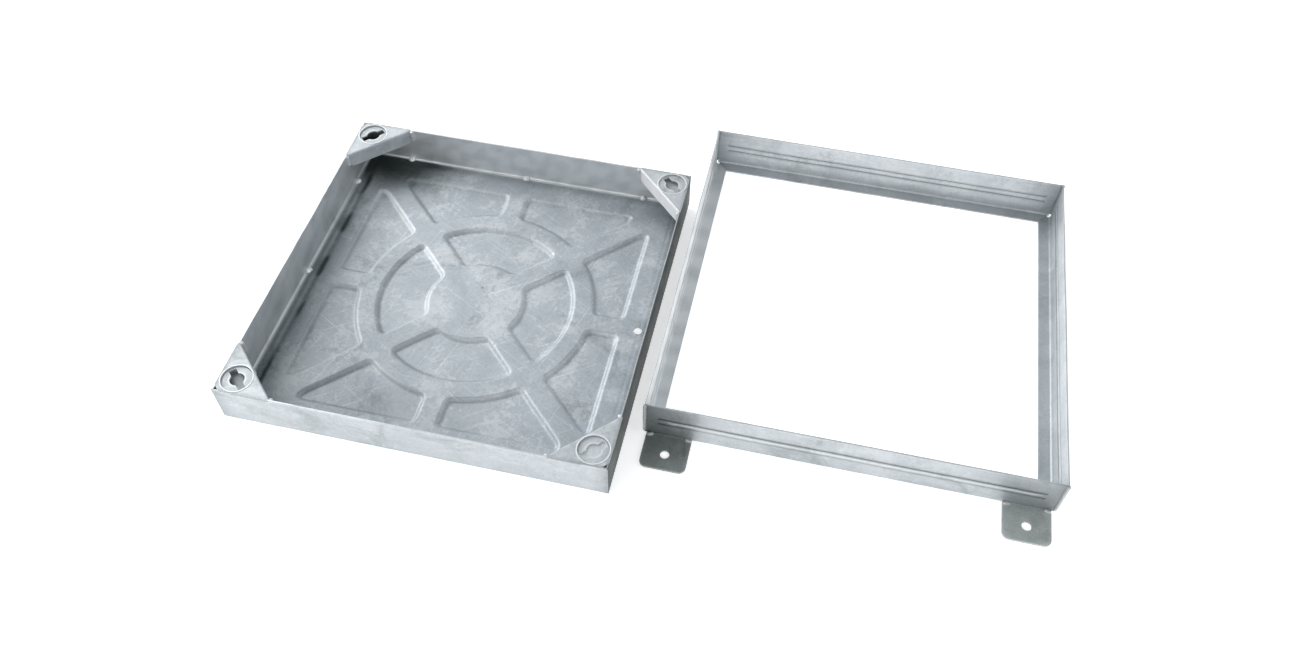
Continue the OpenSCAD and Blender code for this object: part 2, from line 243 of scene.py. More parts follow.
    cellSteps = addNode(tree, "ShaderNodeMath", {"operation": "MULTIPLY", 1: look["crystalRelief"]},
                        {0: cells.outputs["Color"]})
    streakSteps = addNode(tree, "ShaderNodeMath", {"operation": "MULTIPLY_ADD", 1: look["streakRelief"]},
                          {0: streaks.outputs["Fac"], 2: cellSteps.outputs[0]})
    lumps = addNode(tree, "ShaderNodeTexNoise",
                    {"Scale": 1 / look["lumpSize"], "Detail": 3.0, "Roughness": 0.55}, {"Vector": place})
    lumpSteps = addNode(tree, "ShaderNodeMath", {"operation": "MULTIPLY_ADD", 1: look["lumpRelief"]},
                        {0: lumps.outputs["Fac"], 2: streakSteps.outputs[0]})
    grainSteps = addNode(tree, "ShaderNodeMath", {"operation": "MULTIPLY_ADD", 1: look["grainRelief"]},
                         {0: grain.outputs["Fac"], 2: lumpSteps.outputs[0]})
    bump = addNode(tree, "ShaderNodeBump", {"Strength": 1.0, "Distance": mm},
                   {"Height": grainSteps.outputs[0]})
    shader = addNode(tree, "ShaderNodeBsdfPrincipled", {"Metallic": look["metallic"]},
                     {"Base Color": withGrimeAndShade.outputs[2], "Roughness": roughStreak.outputs[0],
                      "Normal": bump.outputs[0]})
    addNode(tree, "ShaderNodeOutputMaterial", None, {"Surface": shader.outputs[0]})
    return material


# Galvanised sheet, rolled and dipped: soft grey clouds, fine streaks along the length and faint crystals.
# Sizes are in metres and reliefs in mm; depths are shares of the colour.
zincBase = {"cloudSize": 0.045, "crystalSize": 0.0075, "streakScale": (9.0, 9.0, 420.0), "stainSize": 0.11,
            "scratchTurns": (0.5, -0.35), "scratchSize": (0.11, 0.0011, 0.0011), "flakeSize": 0.010,
            "flakeDepth": 0.12, "speckDepth": 0.10, "darkZinc": "#bdc3c7", "midZinc": "#cdd2d6",
            "paleZinc": "#dde1e4", "crystalDepth": 0.05, "streakDepth": 0.08, "stainTint": "#9aa19f",
            "stainDepth": 0.55, "scratchDepth": 0.16, "wearHighlightStrength": 0.8, "grimeShadeTint": "#56605c",
            "wearHighlightTint": "#f8fafb", "scratchTint": "#f6f8f9", "scratchStops": (0.67, 0.74),
            "flakeStops": (0.97, 0.995), "cloudStops": (0.33, 0.5, 0.68), "speckSize": 0.0022,
            "grainSize": 0.0011,
            "roughness": (0.30, 0.44), "crystalRelief": 0.010, "streakRelief": 0.020, "lumpSize": 0.014,
            "lumpRelief": 0.10, "grainRelief": 0.012, "metallic": 0.75}

finishes = {
    # Flange of the back right gusset: a chalky, nearly white zinc with little shine, a painted highlight on
    # that one flange.
    "flangeHighlightZinc": dict(zincBase, streakScale=(120.0, 120.0, 20.0), streakDepth=0.03, crystalSize=0.005,
                           metallic=0.05, darkZinc="#f6f7f8", midZinc="#fbfcfc", paleZinc="#ffffff",
                           stainDepth=0.0, speckDepth=0.02, crystalDepth=0.01, roughness=(0.4, 0.5)),
    # Wall sheets, across and in depth: rolled and dipped, evenly grey with fine streaks along the length.
    "galvanisedSheetAcross": dict(zincBase, darkZinc="#c2c8cc", paleZinc="#d9dde0", stainDepth=0.45),
    "galvanisedSheetDeep": dict(zincBase, darkZinc="#c2c8cc", paleZinc="#d9dde0", stainDepth=0.45),
    # Pressed pan: scuffed in several directions, with pale zinc flakes; greyer than the walls.
    "galvanisedPressedPan": dict(zincBase, streakScale=(40.0, 90.0, 40.0), streakDepth=0.05,
                                 darkZinc="#b0b7bd", midZinc="#bac1c7", paleZinc="#c7cdd2",
                                 roughness=(0.37, 0.49), crystalSize=0.006, lumpRelief=0.10,
                                 metallic=0.62, flakeDepth=0.17, flakeSize=0.0075, scratchDepth=0.26,
                                 wearHighlightStrength=1.0, scratchTurns=(0.6, -0.5, 1.3), speckDepth=0.13),
    # Gussets and key plates: small flat cuts of sheet, smooth and evenly grey.
    "galvanisedCutPlate": dict(zincBase, streakScale=(120.0, 120.0, 20.0), streakDepth=0.06,
                               crystalSize=0.005, darkZinc="#bfc5c9", midZinc="#ccd1d5",
                               paleZinc="#dadee1", metallic=0.5, roughness=(0.36, 0.48)),
    # Anchor lugs: thicker plate whose zinc came out dull and slightly green.
    "galvanisedDullLug": dict(zincBase, darkZinc="#b4bcb9", midZinc="#cad0ce", paleZinc="#dde2e0",
                              roughness=(0.4, 0.55), crystalSize=0.009, crystalDepth=0.12, wearHighlightStrength=0.35),
    # Weld beads: rippled steel under fresh zinc, brighter and glossier than the sheet.
    "zincCoatedWeld": dict(zincBase, darkZinc="#e2e5e7", midZinc="#f0f2f3", paleZinc="#fbfcfc",
                           stainDepth=0.1, metallic=0.5, roughness=(0.22, 0.34), lumpSize=0.003,
                           lumpRelief=0.3, cloudSize=0.008),
}
zinc = {name: makeZinc(name, look) for name, look in finishes.items()}


def makeFloor():
    # Plain pale floor: a single square sheet around the object.
    material = bpy.data.materials.new("paleStudioPaper")
    material.use_nodes = True
    shader = material.node_tree.nodes["Principled BSDF"]
    shader.inputs["Base Color"].default_value = linearColor(floorLook["tint"])
    shader.inputs["Roughness"].default_value = floorLook["roughness"]
    shader.inputs["Emission Color"].default_value = linearColor(floorLook["tint"])
    shader.inputs["Emission Strength"].default_value = floorLook["glow"]
    half, level = floorLook["size"] / 2, -floorLook["below"]
    mesh = bpy.data.meshes.new("studioFloor")
    mesh.from_pydata([(-half, -half, level), (half, -half, level), (half, half, level), (-half, half, level)],
                     [], [(0, 1, 2, 3)])
    mesh.materials.append(material)
    floor = bpy.data.objects.new("studioFloor", mesh)
    bpy.context.scene.collection.objects.link(floor)


makeFloor()

print("stage: mesh helpers")


def closedShell(upper, lower, loop):
    # Two grids of one size become a closed shell: quads over each grid, and quads between their borders.
    # With loop set, the first direction runs round and closes on itself.
    rows, cols = upper.shape[:2]
    count = rows * cols
    number = np.arange(count).reshape(rows, cols)
    ring = np.vstack([number, number[:1]]) if loop else number
    topFaces = np.stack([ring[:-1, :-1], ring[1:, :-1], ring[1:, 1:], ring[:-1, 1:]], -1).reshape(-1, 4)
    faces = [topFaces, topFaces[:, ::-1] + count]
    borders = [ring[:, 0][::-1], ring[:, -1]]
    if not loop:
        borders += [number[0], number[-1][::-1]]
    for border in borders:
        near, far = border[:-1], border[1:]
        faces.append(np.stack([far, near, near + count, far + count], -1))
    return np.vstack([upper.reshape(-1, 3), lower.reshape(-1, 3)]), np.vstack(faces)


def joinShells(shells):
    # Puts several shells into one list of points and one of faces; each shell's numbers follow the last's.
    starts = np.cumsum([0] + [len(points) for points, faces in shells[:-1]])
    return (np.vstack([points for points, faces in shells]),
            np.vstack([faces + start for (points, faces), start in zip(shells, starts)]))


def turned(points, quarterTurns):
    # Turns points about the upright axis by quarter turns: each turn sends (x, y) to (-y, x).
    turnedPoints = points.copy()
    for _ in range(quarterTurns % 4):
        turnedPoints = np.stack([-turnedPoints[..., 1], turnedPoints[..., 0], turnedPoints[..., 2]], -1)
    return turnedPoints


def wobble(seed, x, y, wave, height):
    # Sum of six sine waves in seeded directions, with lengths near the given wave, times height / 4.
    rng = np.random.default_rng(seed)
    total = np.zeros(np.broadcast(x, y).shape)
    for _ in range(6):
        angle, phase, stretch = rng.uniform(0, 2 * np.pi), rng.uniform(0, 2 * np.pi), rng.uniform(0.6, 1.6)
        total += np.sin((x * math.cos(angle) + y * math.sin(angle)) * 2 * np.pi / (wave * stretch) + phase)
    return total * height / 4


def smoothStep(value):
    # 0 below 0, 1 above 1, and 3 v^2 - 2 v^3 between.
    v = np.clip(value, 0, 1)
    return v * v * (3 - 2 * v)


def makePiece(name, shell, look):
    # A mesh in metres from points in mm. Normals face outwards; edges past the limit are bevelled or crisp.
    points, faces = shell
    mesh = bpy.data.meshes.new(name)
    mesh.vertices.add(len(points))
    mesh.vertices.foreach_set("co", (points * mm).astype(np.float32).ravel())
    mesh.loops.add(faces.size)
    mesh.loops.foreach_set("vertex_index", faces.astype(np.int32).ravel())
    mesh.polygons.add(len(faces))
    mesh.polygons.foreach_set("loop_start", np.arange(0, faces.size, 4, dtype=np.int32))
    mesh.update(calc_edges=True)
    mesh.validate()
    # Vertex attributes: wear with painted highlight, and grime with painted shade.
    for attribute in ("wearAndHighlight", "grimeAndShade"):
        if attribute in look:
            layer = mesh.attributes.new(attribute, "FLOAT", "POINT")
            layer.data.foreach_set("value", np.clip(look[attribute], 0, 1).astype(np.float32))
    work = bmesh.new()
    work.from_mesh(mesh)
    bmesh.ops.remove_doubles(work, verts=work.verts, dist=1e-6)
    bmesh.ops.recalc_face_normals(work, faces=work.faces)
    work.to_mesh(mesh)
    work.free()
    mesh.materials.append(look["material"])
    mesh.shade_smooth()
    piece = bpy.data.objects.new(name, mesh)
    bpy.context.scene.collection.objects.link(piece)
    if look.get("bevel"):
        bevel = piece.modifiers.new("roundedEdges", "BEVEL")
        bevel.width = look["bevel"] * mm
        bevel.segments = 2
        bevel.limit_method = "ANGLE"
        bevel.angle_limit = math.radians(look.get("bevelAngle", 50))
        bevel.use_clamp_overlap = True
        bevel.harden_normals = True
    else:
        mesh.set_sharp_from_angle(angle=math.radians(look.get("crispAngle", 60)))
    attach(piece, look["body"])
    if look.get("replaces"):
        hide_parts(*look["replaces"])
    return piece


sideNames = ["front", "right", "back", "left"]
cornerTurns = {"back_right": 0, "back_left": 1, "front_left": 2, "front_right": 3}

print("stage: sides")

frameSideLook = {"size": 450.0, "height": 56.0, "flange": 17.0, "bend": 5.0, "base": 0.0, "bevel": 0.35,
                 "beadHeight": 29.0, "beadWidth": 8.0, "beadRise": 1.5, "beadEnd": 16.0, "beadTaper": 16.0,
                 "drip": 0.0, "dripWave": 23.0, "wobble": 0.28, "wave": 95.0, "sag": 0.1,
                 "stations": (16, 61)}
traySideLook = {"size": 444.0, "height": 54.0, "flange": 13.0, "bend": 5.0, "base": 2.0, "bevel": 0.35,
                "beadRise": 0.0, "drip": 1.0, "dripWave": 23.0, "wobble": 0.30, "wave": 90.0, "sag": 0.1,
                "stations": (16, 61)}
reliefHole = {"radius": 2.5, "inset": 3.5, "top": 6.0}
# Wear, grime, painted shade and painted highlights of the sides, and their darkening towards the bottom:
# reaches and widths in mm, and strengths from 0 to 1.
sideWear = {"edgeWorn": 0.25, "lowReach": 9.0, "lowDarkening": 0.12, "cornerReach": 26.0, "cornerShade": 0.35,
            "channelWidth": 0.7, "channelShade": 0.75, "crestUp": 1.4, "crestWidth": 1.1, "crestHighlight": 0.6,
            "leftReach": 85.0, "leftFade": 70.0, "rightReach": 110.0, "rightFade": 100.0,
            "blotchSize": 26.0, "shineDip": 0.38}


def sideRows(look):
    # Path of the section: along the flange, a quarter turn round the bend, and up the wall. The outer path
    # has the bend's radius, the inner path that radius less the sheet; both are pairs of inset and height.
    bend, flange, height = look["bend"], look["flange"], look["height"]
    flat = np.linspace(flange, bend, 7)
    arc = np.linspace(0, np.pi / 2, 8)[1:]
    if look["beadRise"]:
        low, high = look["beadHeight"] - look["beadWidth"] / 2, look["beadHeight"] + look["beadWidth"] / 2
        wall = np.concatenate([np.linspace(bend, low - 0.6, 7)[1:], [low - 0.2], np.linspace(low, high, 13),
                               [high + 0.2], np.linspace(high + 0.6, height, 8)])
    else:
        wall = np.linspace(bend, height, 14)[1:]
    outer = np.concatenate([np.stack([flat, 0 * flat], -1),
                            np.stack([bend - bend * np.sin(arc), bend - bend * np.cos(arc)], -1),
                            np.stack([0 * wall, wall], -1)])
    small = bend - sheet
    inner = np.concatenate([np.stack([flat, 0 * flat + sheet], -1),
                            np.stack([bend - small * np.sin(arc), bend - small * np.cos(arc)], -1),
                            np.stack([0 * wall + sheet, wall], -1)])
    return outer, inner


def beadDepth(look, along, height):
    # Arc of a circle over the bead's width, which gets narrower and lower over the taper at each end.
    if not look["beadRise"]:
        return np.zeros(np.broadcast(along, height).shape)
    run = look["size"] / 2 - look["beadEnd"]
    fade = smoothStep((run - np.abs(along)) / look["beadTaper"])
    half = look["beadWidth"] / 2
    radius = (half ** 2 + look["beadRise"] ** 2) / (2 * look["beadRise"])
    offset = np.abs(height - look["beadHeight"])
    arc = np.sqrt(np.clip(radius ** 2 - offset ** 2, 0, None)) - (radius - look["beadRise"])
    return np.clip(arc, 0, None) * fade


def makeSide(name, quarterTurns, look, place, seed, extra):
    # Stations run from one mitre to the other: x = t (half - inset), cut back by the relief hole at the bend.
    # Bead and wobble move both faces of the wall together, so the sheet keeps its thickness.
    outer, inner = sideRows(look)
    half = look["size"] / 2
    fine, coarse = look["stations"]
    stations = np.concatenate([np.linspace(-1, -0.86, fine)[:-1], np.linspace(-0.86, 0.86, coarse),
                               np.linspace(0.86, 1, fine)[1:]])
    grids = []
    for path in (outer, inner):
        inset, height = path[:, 0][None, :], path[:, 1][None, :]
        reach = half - inset
        gap = reliefHole["radius"] ** 2 - (inset - reliefHole["inset"]) ** 2
        cutTo = half - reliefHole["inset"] - np.sqrt(np.clip(gap, 0, None))
        reach = np.where((gap > 0) & (height < reliefHole["top"]), np.minimum(reach, cutTo), reach)
        x = stations[:, None] * reach
        wallPart = smoothStep((height - look["bend"]) / 12)
        hold = smoothStep((half - np.abs(x)) / 60)
        push = -beadDepth(look, x, height) + (wobble(seed, x, height, look["wave"], look["wobble"])
                                              + look["wobble"]) * wallPart * hold
        sag = wobble(seed + 1, x, inset * 3, look["wave"] * 0.7, look["sag"]) * (1 - wallPart) * hold
        lift = np.clip(sag, 0, None)
        runs = smoothStep(wobble(seed + 2, x, 0 * inset, look["dripWave"], 1.0) * 1.6 - 0.6)
        drips = look["drip"] * runs * (height < 0.6) * hold
        grids.append(np.stack([x, -half + inset + push, look["base"] + height + lift - drips + 0 * x], -1))
    points, faces = closedShell(grids[0], grids[1], False)
    edge = np.concatenate([np.tile((np.arange(len(path)) >= len(path) - 1) * 1.0, len(stations))
                           for path in (outer, inner)])
    wear, x, z = sideWear, points[:, 0], points[:, 2]
    outside = np.arange(len(points)) < len(points) // 2
    # Darker towards the bottom of each side.
    low = np.clip(1 - (z - look["base"]) / wear["lowReach"], 0, 1) * wear["lowDarkening"]
    # Painted shade in the corners: each side is darker towards both of its ends, on both faces.
    corner = np.clip(1 - (half - np.abs(x)) / wear["cornerReach"], 0, 1) ** 2 * wear["cornerShade"]
    channel, crest = 0 * low, 0 * low
    if look["beadRise"]:
        fromEnd = half - look["beadEnd"] - np.abs(x)
        fromEdge = np.abs(np.abs(z - look["beadHeight"]) - look["beadWidth"] / 2)
        # Painted shade in the creases along both edges of the bead, where it runs at full height.
        channel = np.exp(-(fromEdge / wear["channelWidth"]) ** 2) * wear["channelShade"] * (fromEnd > 0)
        # Painted highlight just above the bead's middle, on the outside only, fading at the bead's ends.
        fromCrest = (z - look["beadHeight"] - wear["crestUp"]) / wear["crestWidth"]
        crest = outside * np.exp(-fromCrest ** 2) * wear["crestHighlight"]
        crest *= smoothStep(fromEnd / look["beadTaper"])
    # Painted shade on the outside faces: all over where asked, as on the tray's right side, and towards the
    # ends, as on the frame's front.
    leftEndShade, rightEndShade = extra.get("cornerShade", (0.0, 0.0))
    dark = outside * (extra.get("outsideShadow", 0.0)
                      + leftEndShade * smoothStep((-x - half + wear["leftReach"]) / wear["leftFade"])
                      + rightEndShade * smoothStep((x - half + wear["rightReach"]) / wear["rightFade"]))
    # Painted sheen on the inside faces where asked, lessened in blotches.
    blotch = smoothStep(wobble(seed + 3, x, z, wear["blotchSize"], 1.0) * 1.3 + 0.55)
    paintedSheen = (1 - outside) * extra.get("insidePaintedSheen", 0.0) * (1 - wear["shineDip"] * (1 - blotch))
    # Worn top edge, plus the painted sheen and the painted highlight above the bead.
    wearAndHighlight = edge * wear["edgeWorn"] + paintedSheen + crest
    points = turned(points, quarterTurns)
    points[:, :2] += place
    makePiece(name, (points, faces), dict(extra, wearAndHighlight=wearAndHighlight, grimeAndShade=low + corner + channel + dark,
                                          bevel=look["bevel"]))


for turn, side in enumerate(sideNames):
    sheetName = "galvanisedSheetAcross" if turn % 2 == 0 else "galvanisedSheetDeep"
    makeSide("frameSide." + side, turn, frameSideLook, (0, 0), 11 + turn,
             {"material": zinc[sheetName], "body": "frame", "slot": "galvanised_sheet",
              # Painted shade towards both ends of the frame front's outside; painted sheen inside the frame's
              # left side.
              "cornerShade": (0.55, 0.3) if side == "front" else (0.0, 0.0),
              "insidePaintedSheen": 0.9 if side == "left" else 0.0,
              "replaces": ["frame_side_" + side]})
    makeSide("traySide." + side, turn, traySideLook, trayPlace, 31 + turn,
             {"material": zinc[sheetName], "body": "tray", "slot": "galvanised_sheet",
              # Painted shadow all over the tray's right side outside; painted sheen inside its back and left
              # sides.
              "outsideShadow": 1.0 if side == "right" else 0.0,
              "insidePaintedSheen": {"back": 1.0, "left": 0.55}.get(side, 0.0), "replaces": ["tray_side_" + side]})

print("stage: anchor lugs")

lugLook = {"frameHalf": 225.0, "width": 52.0, "length": 43.5, "thickness": 3.0, "inset": 29.0, "corner": 8.0,
           "hole": 10.5, "holeReach": 24.0, "tuckTop": 0.3, "tuckBottom": 2.0, "bevel": 0.4, "rings": 7}


def rayToBox(dx, dy, left, right, front, back):
    # Distance from the origin to the box's edge along each unit direction: the least of four edge distances.
    with np.errstate(divide="ignore", invalid="ignore"):
        reaches = [np.where(dx > 1e-9, right / dx, np.inf), np.where(dx < -1e-9, left / dx, np.inf),
                   np.where(dy > 1e-9, back / dy, np.inf), np.where(dy < -1e-9, front / dy, np.inf)]
    return np.min(reaches, axis=0)


def roundedLug(look, angles, tuck):
    # Outline seen from the hole: a box whose two outer corners are replaced by arcs of the corner's radius.
    dx, dy = np.cos(angles), np.sin(angles)
    half, out, back = look["width"] / 2, look["length"] - look["holeReach"], look["holeReach"] + tuck
    reach = rayToBox(dx, dy, -half, half, -out, back)
    for side in (-1, 1):
        cx, cy, r = side * (half - look["corner"]), -out + look["corner"], look["corner"]
        along = dx * cx + dy * cy
        gap = r * r - (cx * cx + cy * cy - along * along)
        onArc = along + np.sqrt(np.clip(gap, 0, None))
        inCorner = (gap > 0) & (onArc * dx * side > cx * side) & (onArc * dy < cy)
        reach = np.where(inCorner, np.minimum(reach, onArc), reach)
    return reach


def makeLug(corner, sx, sy, seed):
    # Rings of points run from the anchor hole to the outline, on the top face and on the underside.
    look = lugLook
    half, rings = look["width"] / 2, look["rings"]
    corners = [math.atan2(look["holeReach"] + look["tuckTop"], s * half) for s in (-1, 1)]
    angles = np.unique(np.concatenate([np.linspace(0, 2 * np.pi, 144, endpoint=False),
                                       np.mod(corners, 2 * np.pi)]))
    grids = []
    for height, tuck in ((look["thickness"], look["tuckTop"]), (0.0, look["tuckBottom"])):
        outline = roundedLug(look, angles, tuck)
        share = np.linspace(0, 1, rings)
        radius = look["hole"] / 2 * (1 - share)[None, :] + outline[:, None] * share[None, :]
        x, y = radius * np.cos(angles)[:, None], radius * np.sin(angles)[:, None]
        bow = np.clip(wobble(seed, x, y, 45, 0.1), None, 0) * (1 if height else 0)
        x = sx * (look["frameHalf"] - look["inset"]) + x
        y = -look["frameHalf"] - look["holeReach"] + y
        grids.append(np.stack([x, y * (1 if sy < 0 else -1), 0 * x + height + bow], -1))
    shell = closedShell(grids[0], grids[1], True)
    wearAndHighlight = np.tile((np.arange(rings) == rings - 1) * 0.8, 2 * len(angles))
    # Painted shade: the left lugs are painted darker than the right ones.
    grimeAndShade = np.full(len(wearAndHighlight), 0.4 if sx < 0 else 0.05)  # the left lugs are the darker ones
    makePiece("anchorLug." + corner, shell,
              {"material": zinc["galvanisedDullLug"], "body": "frame", "slot": "galvanised_lug",
               "bevel": look["bevel"], "wearAndHighlight": wearAndHighlight, "grimeAndShade": grimeAndShade, "replaces": ["anchor_lug_" + corner]})


lugCorners = {"front_left": (-1, -1), "front_right": (1, -1), "back_left": (-1, 1), "back_right": (1, 1)}
for corner, (sx, sy) in lugCorners.items():
    makeLug(corner, sx, sy, 50 + sx + 2 * sy)

print("stage: floor pan")

panLook = {"half": 216.5, "top": 5.5, "sheet": 1.5, "drop": 4.0, "reach": 184.0, "sideEnd": 157.0,
           "hub": 56.5, "ringInner": 121.5, "ringOuter": 141.5, "crossHalf": 11.5, "middleHalf": 10.5,
           "cornerRound": 9.0, "slopeWidth": 5.8, "slopeBend": 0.34, "drainAt": 203.0, "drainRadius": 5.0,
           "cells": 264, "wobble": 0.35, "wave": 120.0, "creaseAt": 205.0, "creaseWidth": 1.6,
           "creaseDepth": (0.25, 0.3, 0.2, 0.6), "rimRound": 0.4}
# Wear, a speck, painted shade and painted highlights of the pan: places, widths and reaches in mm, and
# strengths from 0 to 1.
panWear = {"rimHighlight": 1.2, "scuffAt": -208.5, "scuffWidth": 2.0, "scuff": 0.4, "creaseShadeAt": -203.0,
           "creaseShadeWidth": 3.6, "creaseShadeEnd": 198.0, "dashLength": 48.0, "rimShadeAt": 5.0, "rimShadeWidth": 6.0,
           "rimShade": 0.3, "backLeftShadowAt": (-175.0, 206.0), "backLeftShadowReach": 95.0, "backLeftShadow": 0.95,
           "speckAt": (1.6, 22.5), "speckRadius": 1.6, "speck": 0.7, "slopeWorn": 0.22,
           "leftSlopeHighlight": 0.5, "leftFrontShade": 0.36, "leftFrontShadeFade": 280.0}


def panelDrop(x, y):
    # How far inside a panel a point is, from its distances to hub, ring, ribs and edge, with rounded corners:
    # R less the length of what each distance lacks to R. Over the slope's width the drop rises along a
    # parabola, a straight line and a parabola again; slopeBend is each parabola's share of the width.
    look, limit = panLook, panLook["cornerRound"]
    r = np.hypot(x, y)
    ax, ay = np.abs(x), np.abs(y)
    cross = np.abs(ax - ay) / math.sqrt(2) - look["crossHalf"]

    def inside(distances):
        lack = [np.clip(limit - distance, 0, None) for distance in distances]
        return limit - np.sqrt(sum(part * part for part in lack))

    across, along = np.maximum(ax, ay), np.minimum(ax, ay)
    outerPanel = inside([look["reach"] - across, look["sideEnd"] - along, r - look["ringOuter"],
                         along - look["middleHalf"], cross])
    innerPanel = inside([r - look["hub"], look["ringInner"] - r, cross])
    depth = np.maximum(outerPanel, innerPanel)
    bend, v = look["slopeBend"], np.clip(depth / look["slopeWidth"], 0, 1)
    low = v * v / (2 * bend * (1 - bend))
    high = 1 - (1 - v) ** 2 / (2 * bend * (1 - bend))
    rise = np.where(v < bend, low, np.where(v > 1 - bend, high, (v - bend / 2) / (1 - bend)))
    return look["drop"] * rise


def panHeight(x, y):
    # Top of the pan: its level less the panels' drop, a shallow crease beside the walls and a slow wobble.
    look = panLook
    level = look["top"] - panelDrop(x, y)
    creaseLines = [(y + look["creaseAt"], x), (x - look["creaseAt"], y),
                   (y - look["creaseAt"], x), (x + look["creaseAt"], y)]
    for (distance, along), depth in zip(creaseLines, look["creaseDepth"]):
        ends = smoothStep((look["creaseAt"] - np.abs(along)) / 14)
        level -= depth * np.exp(-(distance / look["creaseWidth"]) ** 2) * ends
    flat = 1 - smoothStep((np.maximum(np.abs(x), np.abs(y)) - 190) / 20) * 0.8
    return level + (wobble(71, x, y, look["wave"], look["wobble"]) - look["wobble"] * 0.2) * flat


def makePan():
    # A square grid whose lines gather at the rim. Round the drain, squares of cells become circles.
    look = panLook
    edge = np.array([0.0, 0.12, 0.35, 0.8])
    inner = np.linspace(-look["half"] + 1.6, look["half"] - 1.6, look["cells"])
    line = np.concatenate([-look["half"] + edge, inner, look["half"] - edge[::-1]])
    x, y = np.meshgrid(line, line, indexing="ij")
    column = np.argmin(np.abs(line - look["drainAt"]))
    row = np.argmin(np.abs(line))
    block, blend = 3, 8  # cells from the middle to the hole's edge, and to where the grid is square again
    index = np.arange(len(line))
    away = np.maximum(np.abs(index - column)[:, None], np.abs(index - row)[None, :])
    dx, dy = x - line[column], y - line[row]
    length = np.maximum(np.hypot(dx, dy), 1e-6)
    share = smoothStep((away - block) / (blend - block))
    near = (away < blend) & (away >= block)
    radius = look["drainRadius"] + (away - block) * (line[column] - line[column - 1])
    x = np.where(near, (look["drainAt"] + dx / length * radius) * (1 - share) + x * share, x)
    y = np.where(near, (dy / length * radius) * (1 - share) + y * share, y)
    z = panHeight(x, y)
    rim = look["half"] - np.maximum(np.abs(x), np.abs(y))
    bend = look["rimRound"]
    rounding = bend - np.sqrt(np.clip(bend ** 2 - (bend - np.clip(rim, 0, bend)) ** 2, 0, None))
    upper = np.stack([x, y, z - rounding], -1)
    lower = np.stack([x, y, z - look["sheet"] + rounding * 0.5], -1)
    lower[..., 2] = np.maximum(lower[..., 2], 0.0)
    size = len(line)
    number = np.arange(size * size).reshape(size, size)
    faces = np.stack([number[:-1, :-1], number[1:, :-1], number[1:, 1:], number[:-1, 1:]], -1)
    farthest = np.max([away[:-1, :-1], away[1:, 1:], away[1:, :-1], away[:-1, 1:]], axis=0)
    inHole = farthest <= block
    kept = faces[~inHole].reshape(-1, 4)
    shift = size * size
    ringAway = np.argwhere(away == block)
    angle = np.arctan2(ringAway[:, 1] - row, ringAway[:, 0] - column)
    ring = number[tuple(ringAway[np.argsort(angle)].T)]
    ring = np.append(ring, ring[0])
    borders = [number[0], number[-1][::-1], number[:, 0][::-1], number[:, -1], ring]
    walls = [np.stack([b[1:], b[:-1], b[:-1] + shift, b[1:] + shift], -1) for b in borders]
    points = np.vstack([upper.reshape(-1, 3), lower.reshape(-1, 3)])
    allFaces = np.vstack([kept, kept[:, ::-1] + shift] + walls)
    used = np.unique(allFaces)
    renumber = np.zeros(len(points), int)
    renumber[used] = np.arange(len(used))
    points, allFaces = points[used], renumber[allFaces]
    px, py = points[:, 0], points[:, 1]
    wear, rimDistance = panWear, look["half"] - np.maximum(np.abs(px), np.abs(py))
    dashes = smoothStep(wobble(75, py, px * 2.5, wear["dashLength"], 1.0) * 1.3 + 0.2)
    scuff = np.exp(-((px - wear["scuffAt"]) / wear["scuffWidth"]) ** 2) * wear["scuff"]
    # Painted highlight along the pan's cut edge, and scuffs between the dashes beside the left wall.
    wearAndHighlight = np.clip(1.6 - rimDistance / wear["rimHighlight"], 0, 1) + scuff * (1 - dashes)
    # Painted shade in broken dashes along the crease beside the left wall, fading near its ends.
    leftCreaseShade = np.exp(-((px - wear["creaseShadeAt"]) / wear["creaseShadeWidth"]) ** 2) * (0.3 + 0.5 * dashes)
    leftCreaseShade *= smoothStep((wear["creaseShadeEnd"] - np.abs(py)) / 30)
    # Painted shadow in the back left corner, under the gusset.
    shadowX, shadowY = (px - wear["backLeftShadowAt"][0]) * 0.8, (py - wear["backLeftShadowAt"][1]) * 1.6
    backLeftShadow = smoothStep((wear["backLeftShadowReach"] - np.hypot(shadowX, shadowY)) / 80) * wear["backLeftShadow"]
    # Painted shade in a band a little in from the rim, all round.
    rimShade = np.exp(-((rimDistance - wear["rimShadeAt"]) / wear["rimShadeWidth"]) ** 2) * wear["rimShade"]
    fromSpeck = np.hypot(px - wear["speckAt"][0], py - wear["speckAt"][1])
    speck = smoothStep((wear["speckRadius"] - fromSpeck) / 0.8) * wear["speck"]
    # Painted shade over the left front part of the pan, fading towards the right and back.
    leftFrontShade = wear["leftFrontShade"] * smoothStep((-px - py * 0.8 + 20) / wear["leftFrontShadeFade"])
    depth = panelDrop(px, py) / look["drop"]
    wearAndHighlight += wear["slopeWorn"] * smoothStep(depth / 0.1) * smoothStep((0.6 - depth) / 0.4)
    # Painted highlight on slopes that face left, over the left part of the pan, fading towards the right.
    leftSlopeFacing = (panelDrop(px - 0.5, py) - panelDrop(px + 0.5, py)) * look["slopeWidth"] / look["drop"]
    wearAndHighlight += wear["leftSlopeHighlight"] * np.clip(leftSlopeFacing, 0, 1) * smoothStep((30 - px) / 150)
    # The speck is a real mark; the rest is painted shade.
    grimeAndShade = leftCreaseShade + rimShade + backLeftShadow + speck + leftFrontShade
    points[:, :2] += trayPlace
    makePiece("floorPan", (points, allFaces),
              {"material": zinc["galvanisedPressedPan"], "body": "tray", "slot": "pressed_pan",
               "crispAngle": 75, "wearAndHighlight": wearAndHighlight, "grimeAndShade": grimeAndShade, "replaces": ["floor_pan"]})


makePan()

print("stage: gussets and key sockets")

